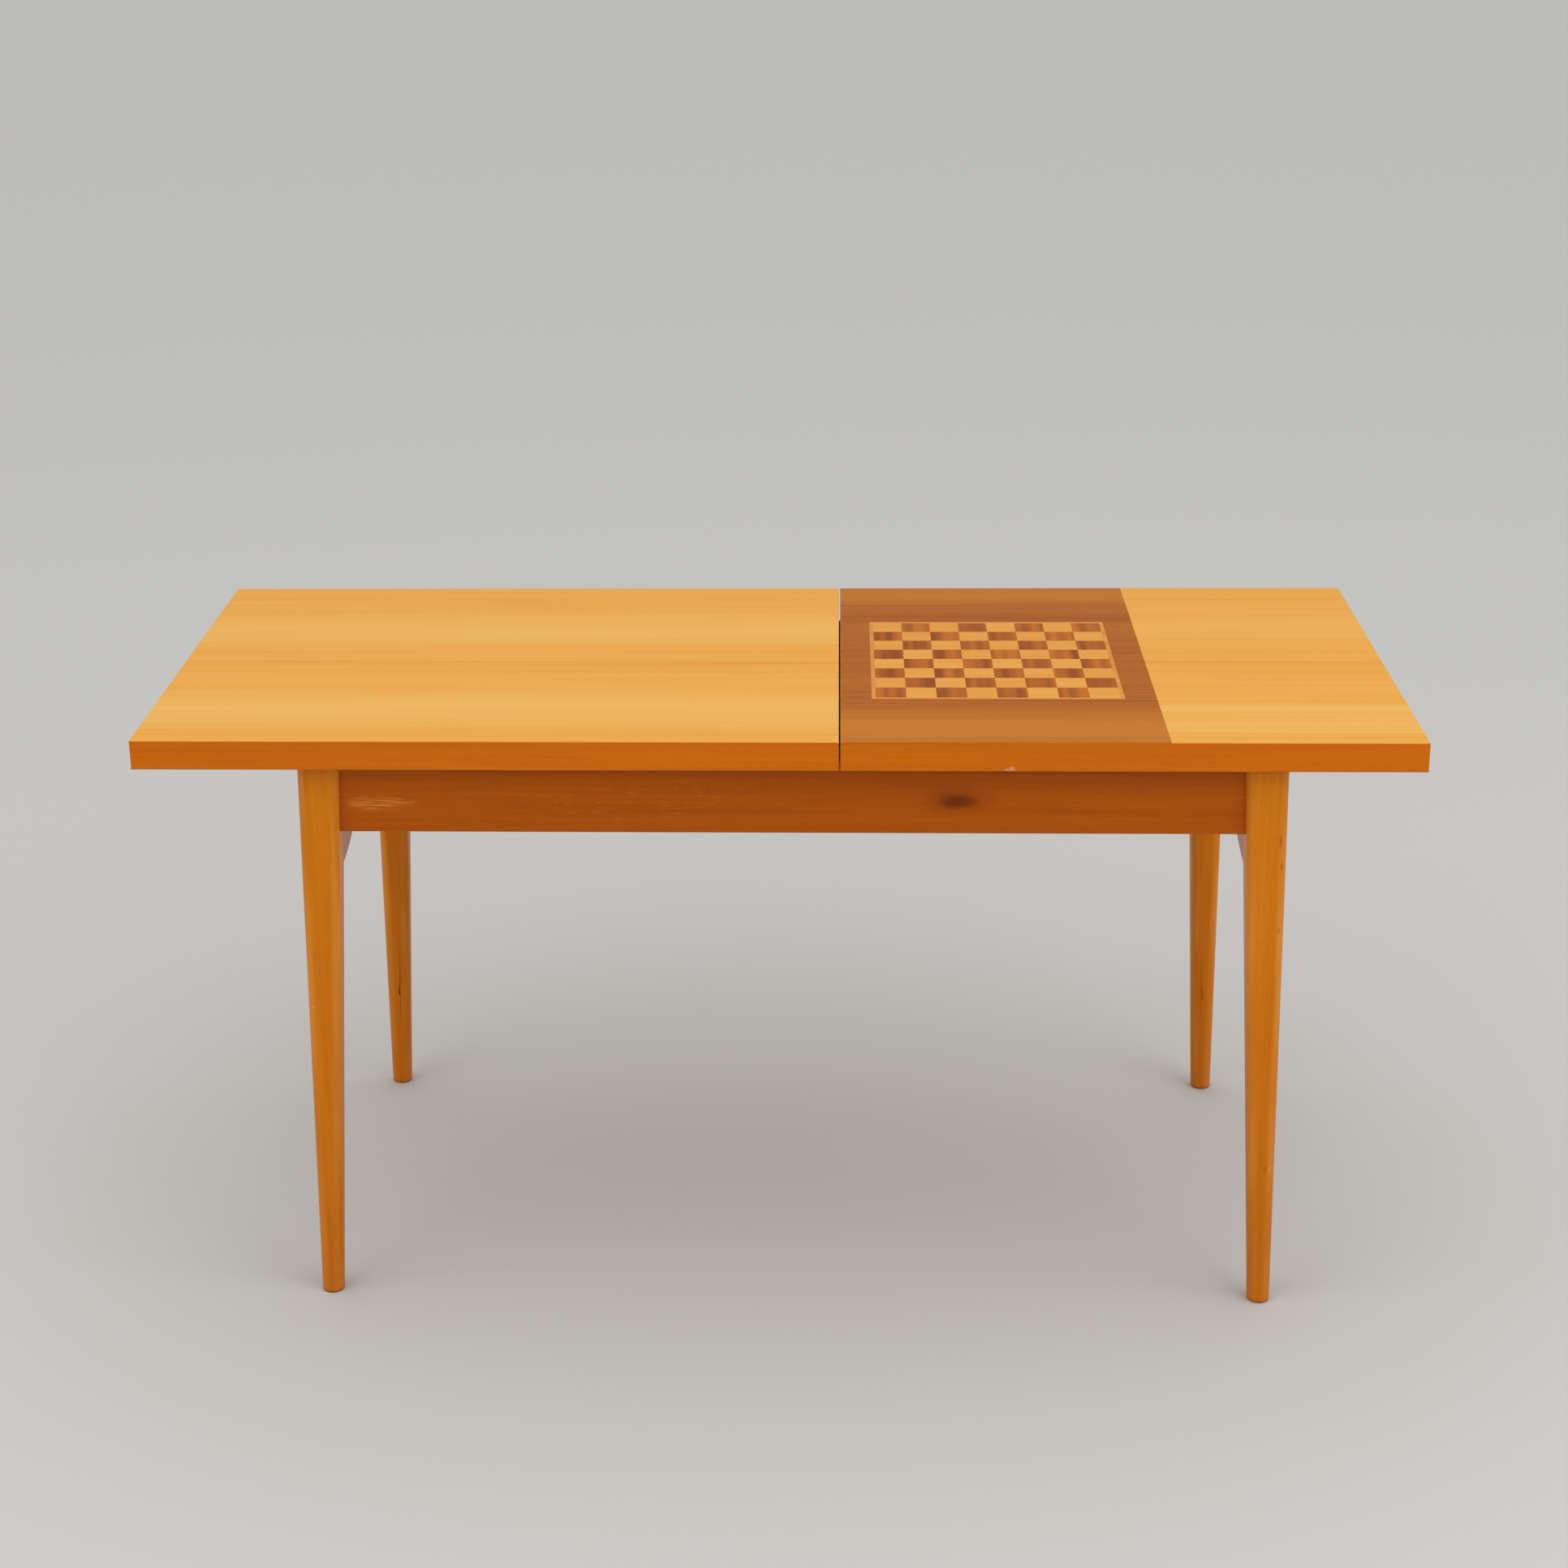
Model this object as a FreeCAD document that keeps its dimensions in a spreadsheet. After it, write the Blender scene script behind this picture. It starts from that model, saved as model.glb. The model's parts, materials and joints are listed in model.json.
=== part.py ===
"""Coffee table with a split sliding top, an inlaid chessboard and a tray for the game pieces under it.

Frame of reference: millimetres, +X to the right along the table, -Y to the front, +Z up. The origin is on
the floor under the middle of the closed top. The frame stands a little to the right of that middle.
"""
import FreeCAD, Part
import os
import Sketcher

doc = FreeCAD.newDocument("ChessTable")
sheet = doc.addObject("Spreadsheet::Sheet", "dims")

DIMENSIONS = {
    # Top
    "left_leaf_length": 676,
    "seam_gap": 1.4,
    "dark_panel_length": 310,
    "light_panel_length": 239.6,
    "top_depth": 496,
    "top_height": 602,
    "top_thickness": 29,
    "veneer_thickness": 1,
    "lipping_thickness": 6,
    "arris_radius": 0.6,
    # Chessboard
    "square_side": 30,
    "border_width": 4,
    # Legs: half spacings of their centre lines at the top and on the floor, and their sections there
    "frame_offset": 15,
    "leg_top_x": 453,
    "leg_top_y": 210,
    "leg_foot_x": 469,
    "leg_foot_y": 230,
    "leg_top_side": 41,
    "leg_foot_side": 22.2,
    "leg_top_round": 9,
    "leg_foot_round": 10.8,
    "foot_chamfer": 1.5,
    # Aprons and end rails
    "rail_thickness": 22,
    "apron_height": 74,
    "end_rail_height": 123,
    "arch_half_span": 196,
    "block_leg": 62,
    "block_notch": 12,
    "block_height": 32,
    # Slides
    "guide_thickness": 18,
    "guide_height": 36,
    "groove_drop": 15,
    "groove_height": 9,
    "groove_depth": 9,
    "runner_width": 20,
    "runner_height": 28,
    "runner_setback": 10,
    "slide_clearance": 0.5,
    "stop_clearance": 1,
    "left_travel": 280,
    "right_travel": 180,
    # Tray
    "tray_lift": 2,
    "cross_rail_thickness": 18,
    "cross_rail_height": 36,
    "ledge_side": 12,
    "tray_panel_thickness": 5,
    "tray_panel_play": 0.5,
    # Dowels and screws
    "dowel_radius": 5,
    "dowel_length": 50,
    "tray_dowel_radius": 4,
    "tray_dowel_length": 36,
    "tray_dowel_bite": 16,
    "screw_radius": 2,
    "screw_head_radius": 4,
    "screw_head_height": 2.4,
    "runner_screw_length": 42,
    "guide_screw_length": 32,
    "screw_end_distance": 30,
    "guide_screw_spacing": 180,
    "guide_screw_lift": 6,
}
for row, (alias, number) in enumerate(DIMENSIONS.items(), start=1):
    sheet.set(f"A{row}", alias)
    sheet.set(f"B{row}", str(number))
    sheet.setAlias(f"B{row}", alias)
doc.recompute()

SQUARES_PER_SIDE = 8
APRON_DOWEL_DROPS = (20, 55)
END_RAIL_DOWEL_DROPS = (37, 75, 110)
TRAY_DOWEL_LIFTS = (11, 27)
GUIDE_SCREW_STEPS = (-2, -1, 0, 1, 2)

# Levels and places that many pieces share, worked out from the driving dimensions
UNDERSIDE = "(dims.top_height - dims.top_thickness)"
CORE_BOTTOM = f"({UNDERSIDE} + dims.veneer_thickness)"
CORE_HEIGHT = "(dims.top_thickness - 2 * dims.veneer_thickness)"
INLAY_BOTTOM = "(dims.top_height - dims.veneer_thickness)"
HALF_DEPTH = "(dims.top_depth / 2)"
RIGHT_LEAF_LENGTH = "(dims.dark_panel_length + dims.light_panel_length)"
HALF_LENGTH = f"((dims.left_leaf_length + dims.seam_gap + {RIGHT_LEAF_LENGTH}) / 2)"
SEAM_LEFT = f"(dims.left_leaf_length - {HALF_LENGTH})"
SEAM_RIGHT = f"({SEAM_LEFT} + dims.seam_gap)"
DARK_END = f"({SEAM_RIGHT} + dims.dark_panel_length)"
FIELD_SIDE = f"({SQUARES_PER_SIDE} * dims.square_side)"
BORDER_SIDE = f"({FIELD_SIDE} + 2 * dims.border_width)"
FIELD_CENTRE = f"({SEAM_RIGHT} + dims.dark_panel_length / 2)"
APRON_INNER = "(dims.leg_top_y - dims.rail_thickness / 2)"
APRON_BOTTOM = f"({UNDERSIDE} - dims.apron_height)"
END_RAIL_INNER = "(dims.leg_top_x - dims.rail_thickness / 2)"
GUIDE_INNER = f"({APRON_INNER} - dims.guide_thickness)"
GUIDE_HALF_LENGTH = "(dims.leg_top_x - dims.leg_top_side / 2 - dims.slide_clearance)"
RUNNER_OUTER = f"({GUIDE_INNER} - dims.slide_clearance)"
TRAY_BOTTOM = f"({APRON_BOTTOM} + dims.tray_lift)"
TRAY_LEFT = f"({SEAM_LEFT} - dims.left_travel)"
TRAY_RIGHT = f"({SEAM_RIGHT} + dims.right_travel)"
LEFT_RUNNER_START = f"(dims.frame_offset - {END_RAIL_INNER} + dims.stop_clearance + dims.left_travel)"
LEFT_RUNNER_END = f"({SEAM_LEFT} - dims.runner_setback)"
RIGHT_RUNNER_START = f"({SEAM_RIGHT} + dims.runner_setback)"
RIGHT_RUNNER_END = f"(dims.frame_offset + {END_RAIL_INNER} - dims.stop_clearance - dims.right_travel)"

ALONG_X = FreeCAD.Rotation(FreeCAD.Vector(0, 1, 0), 90)
ALONG_Y = FreeCAD.Rotation(FreeCAD.Vector(1, 0, 0), -90)
AGAINST_Y = FreeCAD.Rotation(FreeCAD.Vector(1, 0, 0), 90)
ALONG_Z = FreeCAD.Rotation()
FRONT_AND_BACK = (("front", -1), ("back", 1))
LEFT_AND_RIGHT = (("left", -1), ("right", 1))

pieces = {}


def keep(piece, label, solids=1):
    """Name a finished piece and note how many separate solids it has."""
    piece.Label = label
    pieces[label] = (piece, solids)
    return piece


def value(expression):
    """The number that an expression of the sheet comes to."""
    number = sheet.evalExpression(expression)
    return float(getattr(number, "Value", number))


def place(piece, position, rotation=ALONG_Z):
    piece.Placement = FreeCAD.Placement(FreeCAD.Vector(), rotation)
    for axis, expression in zip("xyz", position):
        piece.setExpression(f"Placement.Base.{axis}", expression)


def make_box(name, low, size):
    """A rectangular block from its lowest corner and its size along X, Y and Z."""
    block = doc.addObject("Part::Box", name)
    for side, expression in zip(("Length", "Width", "Height"), size):
        block.setExpression(side, expression)
    place(block, low)
    return block


def make_cylinder(name, radius, length, position, rotation):
    rod = doc.addObject("Part::Cylinder", name)
    rod.setExpression("Radius", radius)
    rod.setExpression("Height", length)
    place(rod, position, rotation)
    return rod


def make_screw(name, length, position, rotation):
    """A countersunk wood screw with its head's face at the given position."""
    head = doc.addObject("Part::Cone", f"{name}_head")
    head.setExpression("Radius1", "dims.screw_head_radius")
    head.setExpression("Radius2", "dims.screw_radius")
    head.setExpression("Height", "dims.screw_head_height")
    place(head, position, rotation)
    shank = make_cylinder(f"{name}_shank", "dims.screw_radius", length, position, rotation)
    screw = doc.addObject("Part::Fuse", name)
    screw.Base = head
    screw.Tool = shank
    return screw


def make_group(name, members):
    group = doc.addObject("Part::Compound", name)
    group.Links = members
    return group


def cut(name, base, tool):
    result = doc.addObject("Part::Cut", name)
    result.Base = base
    result.Tool = tool
    return result


def make_body(name):
    return doc.addObject("PartDesign::Body", name)


def make_sketch(body, name, plane, offset=("0", "0", "0")):
    """A sketch on one of the body's own planes, moved by an offset in the sketch's own axes."""
    sketch = body.newObject("Sketcher::SketchObject", name)
    support = next(feature for feature in body.Origin.OriginFeatures if feature.Role == plane)
    sketch.AttachmentSupport = [(support, "")]
    sketch.MapMode = "FlatFace"
    for axis, expression in zip("xyz", offset):
        sketch.setExpression(f"AttachmentOffset.Base.{axis}", expression)
    return sketch


def dimension(sketch, name, expression, kind, *where):
    """Add a dimension to a sketch and bind it to an expression of the sheet."""
    index = sketch.addConstraint(Sketcher.Constraint(kind, *where, value(expression)))
    sketch.renameConstraint(index, name)
    sketch.setExpression(f"Constraints.{name}", expression)


def fix_point(sketch, name, line, end, point):
    """Hold one end of a line at a point given by two expressions."""
    for axis, kind, zero_axis, expression in zip("xy", ("DistanceX", "DistanceY"), (-2, -1), point):
        number = value(expression)
        if abs(number) < 1e-9:
            sketch.addConstraint(Sketcher.Constraint("PointOnObject", line, end, zero_axis))
        elif number > 0:
            dimension(sketch, f"{name}_{axis}", expression, kind, -1, 1, line, end)
        else:
            dimension(sketch, f"{name}_{axis}", f"-({expression})", kind, line, end, -1, 1)


def draw_polygon(sketch, points, name="corner"):
    """A closed outline of straight lines through points given by expressions."""
    corners = [FreeCAD.Vector(value(x), value(y), 0) for x, y in points]
    first = sketch.GeometryCount
    count = len(corners)
    for index in range(count):
        sketch.addGeometry(Part.LineSegment(corners[index], corners[(index + 1) % count]), False)
    for index in range(count):
        following = first + (index + 1) % count
        sketch.addConstraint(Sketcher.Constraint("Coincident", first + index, 2, following, 1))
    for index, point in enumerate(points):
        fix_point(sketch, f"{name}{index}", first + index, 1, point)


def draw_rectangle(sketch, low, high, name="corner"):
    draw_polygon(sketch, [low, (high[0], low[1]), high, (low[0], high[1])], name)


def pad(body, name, sketch, length):
    feature = body.newObject("PartDesign::Pad", name)
    feature.Profile = sketch
    feature.setExpression("Length", length)
    sketch.Visibility = False
    return feature


def draw_rounded_square(sketch, side, radius):
    """A square about the sketch's origin with its corners rounded."""
    half = value(side) / 2
    round_off = value(radius)
    flat = half - round_off
    line_ends = [((-flat, -half), (flat, -half)), ((half, -flat), (half, flat)),
                 ((flat, half), (-flat, half)), ((-half, flat), (-half, -flat))]
    centres = [(flat, -flat), (flat, flat), (-flat, flat), (-flat, -flat)]
    quarter = FreeCAD.Units.parseQuantity("90 deg").getValueAs("rad").Value
    for index in range(4):
        start, end = [FreeCAD.Vector(x, y, 0) for x, y in line_ends[index]]
        sketch.addGeometry(Part.LineSegment(start, end), False)
        circle = Part.Circle(FreeCAD.Vector(*centres[index], 0), FreeCAD.Vector(0, 0, 1), round_off)
        sketch.addGeometry(Part.ArcOfCircle(circle, (index - 1) * quarter, index * quarter), False)
    for index in range(8):
        sketch.addConstraint(Sketcher.Constraint("Tangent", index, 2, (index + 1) % 8, 1))
    for index, kind in enumerate(("Horizontal", "Vertical") * 2):
        sketch.addConstraint(Sketcher.Constraint(kind, 2 * index))
    for arc in (3, 5, 7):
        sketch.addConstraint(Sketcher.Constraint("Equal", 1, arc))
    dimension(sketch, "radius", radius, "Radius", 1)
    dimension(sketch, "right", f"{side} / 2", "DistanceX", -1, 1, 2, 1)
    dimension(sketch, "left", f"{side} / 2", "DistanceX", 6, 1, -1, 1)
    dimension(sketch, "top", f"{side} / 2", "DistanceY", -1, 1, 4, 1)
    dimension(sketch, "bottom", f"{side} / 2", "DistanceY", 0, 1, -1, 1)


def make_leg_blank(name, x_sign, y_sign):
    """A tapered, slightly splayed leg with a chamfered foot, before its dowel holes are drilled."""
    body = make_body(f"{name}_blank")
    foot_x = f"dims.frame_offset + {x_sign} * dims.leg_foot_x"
    foot_y = f"{y_sign} * dims.leg_foot_y"
    head_x = f"dims.frame_offset + {x_sign} * dims.leg_top_x"
    head_y = f"{y_sign} * dims.leg_top_y"
    sole = make_sketch(body, f"{name}_sole", "XY_Plane", (foot_x, foot_y, "0"))
    sole_side = "(dims.leg_foot_side - 2 * dims.foot_chamfer)"
    draw_rounded_square(sole, sole_side, "dims.leg_foot_round - dims.foot_chamfer")
    foot = make_sketch(body, f"{name}_foot", "XY_Plane", (foot_x, foot_y, "dims.foot_chamfer"))
    draw_rounded_square(foot, "dims.leg_foot_side", "dims.leg_foot_round")
    head = make_sketch(body, f"{name}_head", "XY_Plane", (head_x, head_y, UNDERSIDE))
    draw_rounded_square(head, "dims.leg_top_side", "dims.leg_top_round")
    loft = body.newObject("PartDesign::AdditiveLoft", f"{name}_taper")
    loft.Profile = sole
    loft.Sections = [foot, head]
    loft.Ruled = True
    return body


def make_end_rail_blank(name, x_sign):
    """An end rail, deep at the legs, whose lower edge rises in a double curve to the aprons' depth."""
    body = make_body(f"{name}_blank")
    arch_rise = "(dims.end_rail_height - dims.apron_height)"
    outer_face = f"dims.frame_offset + {x_sign} * dims.leg_top_x - dims.rail_thickness / 2"
    sketch = make_sketch(body, f"{name}_outline", "YZ_Plane", ("0", "0", outer_face))
    bend = f"((dims.arch_half_span ^ 2 + {arch_rise} ^ 2) / (4 * {arch_rise}))"
    low_edge = f"({UNDERSIDE} - dims.end_rail_height)"
    end, top, low = value("dims.leg_top_y"), value(UNDERSIDE), value(low_edge)
    span, rise, radius = value("dims.arch_half_span"), value(arch_rise), value(bend)

    def line(start, finish):
        sketch.addGeometry(Part.LineSegment(FreeCAD.Vector(*start, 0), FreeCAD.Vector(*finish, 0)), False)

    def arc(start, middle, finish):
        points = [FreeCAD.Vector(*point, 0) for point in (start, middle, finish)]
        sketch.addGeometry(Part.Arc(*points), False)

    def on_curve(along):
        """Height of the left lower arc at a distance along from the arch's foot."""
        return low + radius - (radius ** 2 - along ** 2) ** 0.5

    line((end, top), (-end, top))
    line((-end, top), (-end, low))
    line((-end, low), (-span, low))
    arc((-span, low), (-span * 3 / 4, on_curve(span / 4)), (-span / 2, low + rise / 2))
    arc((-span / 2, low + rise / 2), (0, low + rise), (span / 2, low + rise / 2))
    arc((span / 2, low + rise / 2), (span * 3 / 4, on_curve(span / 4)), (span, low))
    line((span, low), (end, low))
    line((end, low), (end, top))
    # An arc's first end is where it starts anticlockwise, so the middle arc runs the other way
    for first, first_end, second, second_end in ((0, 2, 1, 1), (1, 2, 2, 1), (6, 2, 7, 1), (7, 2, 0, 1)):
        sketch.addConstraint(Sketcher.Constraint("Coincident", first, first_end, second, second_end))
    for first, first_end, second, second_end in ((2, 2, 3, 1), (3, 2, 4, 2), (4, 1, 5, 1), (5, 2, 6, 1)):
        sketch.addConstraint(Sketcher.Constraint("Tangent", first, first_end, second, second_end))
    for flat in (0, 2, 6):
        sketch.addConstraint(Sketcher.Constraint("Horizontal", flat))
    for upright in (1, 7):
        sketch.addConstraint(Sketcher.Constraint("Vertical", upright))
    sketch.addConstraint(Sketcher.Constraint("Equal", 3, 4))
    sketch.addConstraint(Sketcher.Constraint("Equal", 3, 5))
    dimension(sketch, "right_end", "dims.leg_top_y", "DistanceX", -1, 1, 0, 1)
    dimension(sketch, "left_end", "dims.leg_top_y", "DistanceX", 0, 2, -1, 1)
    dimension(sketch, "top_edge", UNDERSIDE, "DistanceY", -1, 1, 0, 1)
    dimension(sketch, "left_low", low_edge, "DistanceY", -1, 1, 2, 1)
    dimension(sketch, "right_low", low_edge, "DistanceY", -1, 1, 6, 2)
    dimension(sketch, "left_foot", "dims.arch_half_span", "DistanceX", 2, 2, -1, 1)
    dimension(sketch, "right_foot", "dims.arch_half_span", "DistanceX", -1, 1, 6, 1)
    dimension(sketch, "bend", bend, "Radius", 3)
    pad(body, f"{name}_plank", sketch, "dims.rail_thickness")
    return body


def make_bar(name, start, length, profile):
    """A straight bar along X with a profile of (y, z) points."""
    body = make_body(name)
    sketch = make_sketch(body, f"{name}_profile", "YZ_Plane", ("0", "0", start))
    draw_polygon(sketch, profile)
    pad(body, f"{name}_length", sketch, length)
    return body


def make_guide(name, y_sign):
    """A guide rail on an apron's inner face, with a groove for the runners' tongues."""
    inner = f"{y_sign} * {GUIDE_INNER}"
    outer = f"{y_sign} * {APRON_INNER}"
    groove_floor = f"{y_sign} * ({GUIDE_INNER} + dims.groove_depth)"
    groove_top = f"{UNDERSIDE} - dims.groove_drop"
    groove_bottom = f"{groove_top} - dims.groove_height"
    bottom = f"{UNDERSIDE} - dims.guide_height"
    profile = [(outer, bottom), (outer, UNDERSIDE), (inner, UNDERSIDE), (inner, groove_top),
               (groove_floor, groove_top), (groove_floor, groove_bottom),
               (inner, groove_bottom), (inner, bottom)]
    return make_bar(name, f"dims.frame_offset - {GUIDE_HALF_LENGTH}", f"2 * {GUIDE_HALF_LENGTH}", profile)


def make_runner(name, y_sign, start, end):
    """A runner under a leaf, with a tongue that hooks into the guide rail's groove."""
    outer = f"{y_sign} * {RUNNER_OUTER}"
    inner = f"{y_sign} * ({RUNNER_OUTER} - dims.runner_width)"
    tongue_tip = f"{y_sign} * ({GUIDE_INNER} + dims.groove_depth - 2 * dims.slide_clearance)"
    tongue_top = f"{UNDERSIDE} - dims.groove_drop - dims.slide_clearance"
    tongue_bottom = f"{UNDERSIDE} - dims.groove_drop - dims.groove_height + dims.slide_clearance"
    bottom = f"{UNDERSIDE} - dims.runner_height"
    profile = [(inner, bottom), (inner, UNDERSIDE), (outer, UNDERSIDE), (outer, tongue_top),
               (tongue_tip, tongue_top), (tongue_tip, tongue_bottom), (outer, tongue_bottom), (outer, bottom)]
    return make_bar(name, start, f"{end} - {start}", profile)


def make_corner_block(name, x_sign, y_sign):
    """A glued three-cornered block between an end rail and an apron, notched round the leg."""
    body = make_body(name)
    sketch = make_sketch(body, f"{name}_outline", "XY_Plane", ("dims.frame_offset", "0", TRAY_BOTTOM))

    def at(from_rail, from_apron):
        return f"{x_sign} * ({END_RAIL_INNER} - {from_rail})", f"{y_sign} * ({APRON_INNER} - {from_apron})"

    draw_polygon(sketch, [at("dims.block_notch", "0"), at("dims.block_leg", "0"), at("0", "dims.block_leg"),
                          at("0", "dims.block_notch"), at("dims.block_notch", "dims.block_notch")])
    pad(body, f"{name}_block", sketch, "dims.block_height")
    return body


def make_top_veneer(label, left, right, rounded, opening=None):
    """A sheet of top veneer, cut round an inlay if it has one, with its free upper arrises eased."""
    body = make_body(label)
    sketch = make_sketch(body, f"{label}_outline", "XY_Plane", ("0", "0", INLAY_BOTTOM))
    draw_rectangle(sketch, (left, f"-{HALF_DEPTH}"), (right, HALF_DEPTH))
    if opening:
        draw_rectangle(sketch, *opening, name="opening")
    sheet_pad = pad(body, f"{label}_sheet", sketch, "dims.veneer_thickness")
    doc.recompute()
    box = sheet_pad.Shape.BoundBox
    sides = {"left": (0, box.XMin), "right": (0, box.XMax), "front": (1, box.YMin), "back": (1, box.YMax)}

    def eased(edge):
        ends = [vertex.Point for vertex in edge.Vertexes]
        on_top = all(abs(point.z - box.ZMax) < 1e-6 for point in ends)
        return on_top and any(all(abs(point[axis] - limit) < 1e-6 for point in ends)
                              for axis, limit in (sides[side] for side in rounded))

    edges = [f"Edge{index}" for index, edge in enumerate(sheet_pad.Shape.Edges, start=1) if eased(edge)]
    arris = body.newObject("PartDesign::Fillet", f"{label}_arris")
    arris.Base = (sheet_pad, edges)
    arris.setExpression("Radius", "dims.arris_radius")
    return keep(body, label)


def make_leaf(leaf, left, length, outer_side, runner_start, runner_end):
    """Core, lippings, under veneer and screwed-on runners of one leaf of the top."""
    runner_length = f"({runner_end} - {runner_start})"
    screws = []
    runner_blanks = []
    for side, y_sign in FRONT_AND_BACK:
        blank = make_runner(f"{leaf}_runner_{side}_blank", y_sign, runner_start, runner_end)
        runner_blanks.append((side, blank))
        centre_line = f"{y_sign} * ({RUNNER_OUTER} - dims.runner_width / 2)"
        stations = (f"{runner_start} + dims.screw_end_distance", f"{runner_start} + {runner_length} / 2",
                    f"{runner_end} - dims.screw_end_distance")
        for index, station in enumerate(stations):
            head_face = (station, centre_line, f"{UNDERSIDE} - dims.runner_height")
            screws.append(make_screw(f"{leaf}_runner_screw_{side}_{index}", "dims.runner_screw_length",
                                     head_face, ALONG_Z))
    screw_group = keep(make_group(f"{leaf}_runner_screws", screws), f"{leaf}_runner_screws", len(screws))
    for side, blank in runner_blanks:
        keep(cut(f"{leaf}_runner_{side}", blank, screw_group), f"{leaf}_runner_{side}")

    inset = "dims.lipping_thickness"
    core_size = (f"{length} - 2 * {inset}", f"dims.top_depth - 2 * {inset}", CORE_HEIGHT)
    core_low = (f"{left} + {inset}", f"{inset} - {HALF_DEPTH}", CORE_BOTTOM)
    core_blank = make_box(f"{leaf}_leaf_core_blank", core_low, core_size)
    keep(cut(f"{leaf}_leaf_core", core_blank, screw_group), f"{leaf}_leaf_core")
    under_blank = make_box(f"{leaf}_leaf_under_veneer_blank", (left, f"-{HALF_DEPTH}", UNDERSIDE),
                           (length, "dims.top_depth", "dims.veneer_thickness"))
    keep(cut(f"{leaf}_leaf_under_veneer", under_blank, screw_group), f"{leaf}_leaf_under_veneer")

    long_strip = (length, inset, CORE_HEIGHT)
    keep(make_box(f"{leaf}_lipping_front", (left, f"-{HALF_DEPTH}", CORE_BOTTOM), long_strip),
         f"{leaf}_leaf_lipping_front")
    keep(make_box(f"{leaf}_lipping_back", (left, f"{HALF_DEPTH} - {inset}", CORE_BOTTOM), long_strip),
         f"{leaf}_leaf_lipping_back")
    short_strip = (inset, core_size[1], CORE_HEIGHT)
    far_end = f"{left} + {length} - {inset}"
    ends = (left, far_end) if outer_side == "left" else (far_end, left)
    for end_name, start in zip(("outer", "seam"), ends):
        low = (start, f"{inset} - {HALF_DEPTH}", CORE_BOTTOM)
        keep(make_box(f"{leaf}_lipping_{end_name}", low, short_strip), f"{leaf}_leaf_lipping_{end_name}")


# Dowels that join the legs to the aprons and end rails
leg_inner_x = "(dims.leg_top_x - dims.leg_top_side / 2)"
leg_inner_y = "(dims.leg_top_y - dims.leg_top_side / 2)"
frame_dowels = []
for x_name, x_sign in LEFT_AND_RIGHT:
    for y_name, y_sign in FRONT_AND_BACK:
        corner = f"{y_name}_{x_name}"
        for index, drop in enumerate(APRON_DOWEL_DROPS):
            start = f"dims.frame_offset + {x_sign} * {leg_inner_x} - dims.dowel_length / 2"
            position = (start, f"{y_sign} * dims.leg_top_y", f"{UNDERSIDE} - {drop}")
            frame_dowels.append(make_cylinder(f"apron_dowel_{corner}_{index}", "dims.dowel_radius",
                                              "dims.dowel_length", position, ALONG_X))
        for index, drop in enumerate(END_RAIL_DOWEL_DROPS):
            start = f"{y_sign} * {leg_inner_y} - dims.dowel_length / 2"
            position = (f"dims.frame_offset + {x_sign} * dims.leg_top_x", start, f"{UNDERSIDE} - {drop}")
            frame_dowels.append(make_cylinder(f"end_rail_dowel_{corner}_{index}", "dims.dowel_radius",
                                              "dims.dowel_length", position, ALONG_Y))
dowel_group = keep(make_group("frame_dowels", frame_dowels), "frame_dowels", len(frame_dowels))

# Dowels that join the tray's cross rails to the aprons
cross_rails = {"left": f"{TRAY_LEFT} - dims.cross_rail_thickness", "right": TRAY_RIGHT}
tray_dowels = []
for rail_name, start in cross_rails.items():
    for y_name, y_sign in FRONT_AND_BACK:
        for index, lift in enumerate(TRAY_DOWEL_LIFTS):
            outer_end = f"{y_sign} * ({APRON_INNER} + dims.tray_dowel_bite)"
            position = (f"{start} + dims.cross_rail_thickness / 2", outer_end, f"{TRAY_BOTTOM} + {lift}")
            inward = ALONG_Y if y_sign < 0 else AGAINST_Y
            dowel_name = f"tray_dowel_{rail_name}_{y_name}_{index}"
            tray_dowels.append(make_cylinder(dowel_name, "dims.tray_dowel_radius",
                                             "dims.tray_dowel_length", position, inward))
tray_dowel_group = keep(make_group("tray_dowels", tray_dowels), "tray_dowels", len(tray_dowels))

# Screws that hold the guide rails to the aprons
guide_screws = []
for y_name, y_sign in FRONT_AND_BACK:
    for step in GUIDE_SCREW_STEPS:
        head_face = (f"dims.frame_offset + {step} * dims.guide_screw_spacing", f"{y_sign} * {GUIDE_INNER}",
                     f"{UNDERSIDE} - dims.guide_height + dims.guide_screw_lift")
        outward = AGAINST_Y if y_sign < 0 else ALONG_Y
        guide_screws.append(make_screw(f"guide_screw_{y_name}_{step + 2}", "dims.guide_screw_length",
                                       head_face, outward))
guide_screw_group = make_group("guide_rail_screws", guide_screws)
keep(guide_screw_group, "guide_rail_screws", len(guide_screws))
frame_fasteners = make_group("frame_fasteners", [dowel_group, tray_dowel_group, guide_screw_group])

# Legs, and the corner blocks beside them
leg_blanks = []
for x_name, x_sign in LEFT_AND_RIGHT:
    for y_name, y_sign in FRONT_AND_BACK:
        leg_name = f"leg_{y_name}_{x_name}"
        blank = make_leg_blank(leg_name, x_sign, y_sign)
        leg_blanks.append(blank)
        keep(cut(leg_name, blank, dowel_group), leg_name)
        block_name = f"corner_block_{y_name}_{x_name}"
        keep(make_corner_block(block_name, x_sign, y_sign), block_name)
leg_blank_group = make_group("leg_blanks", leg_blanks)

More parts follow.
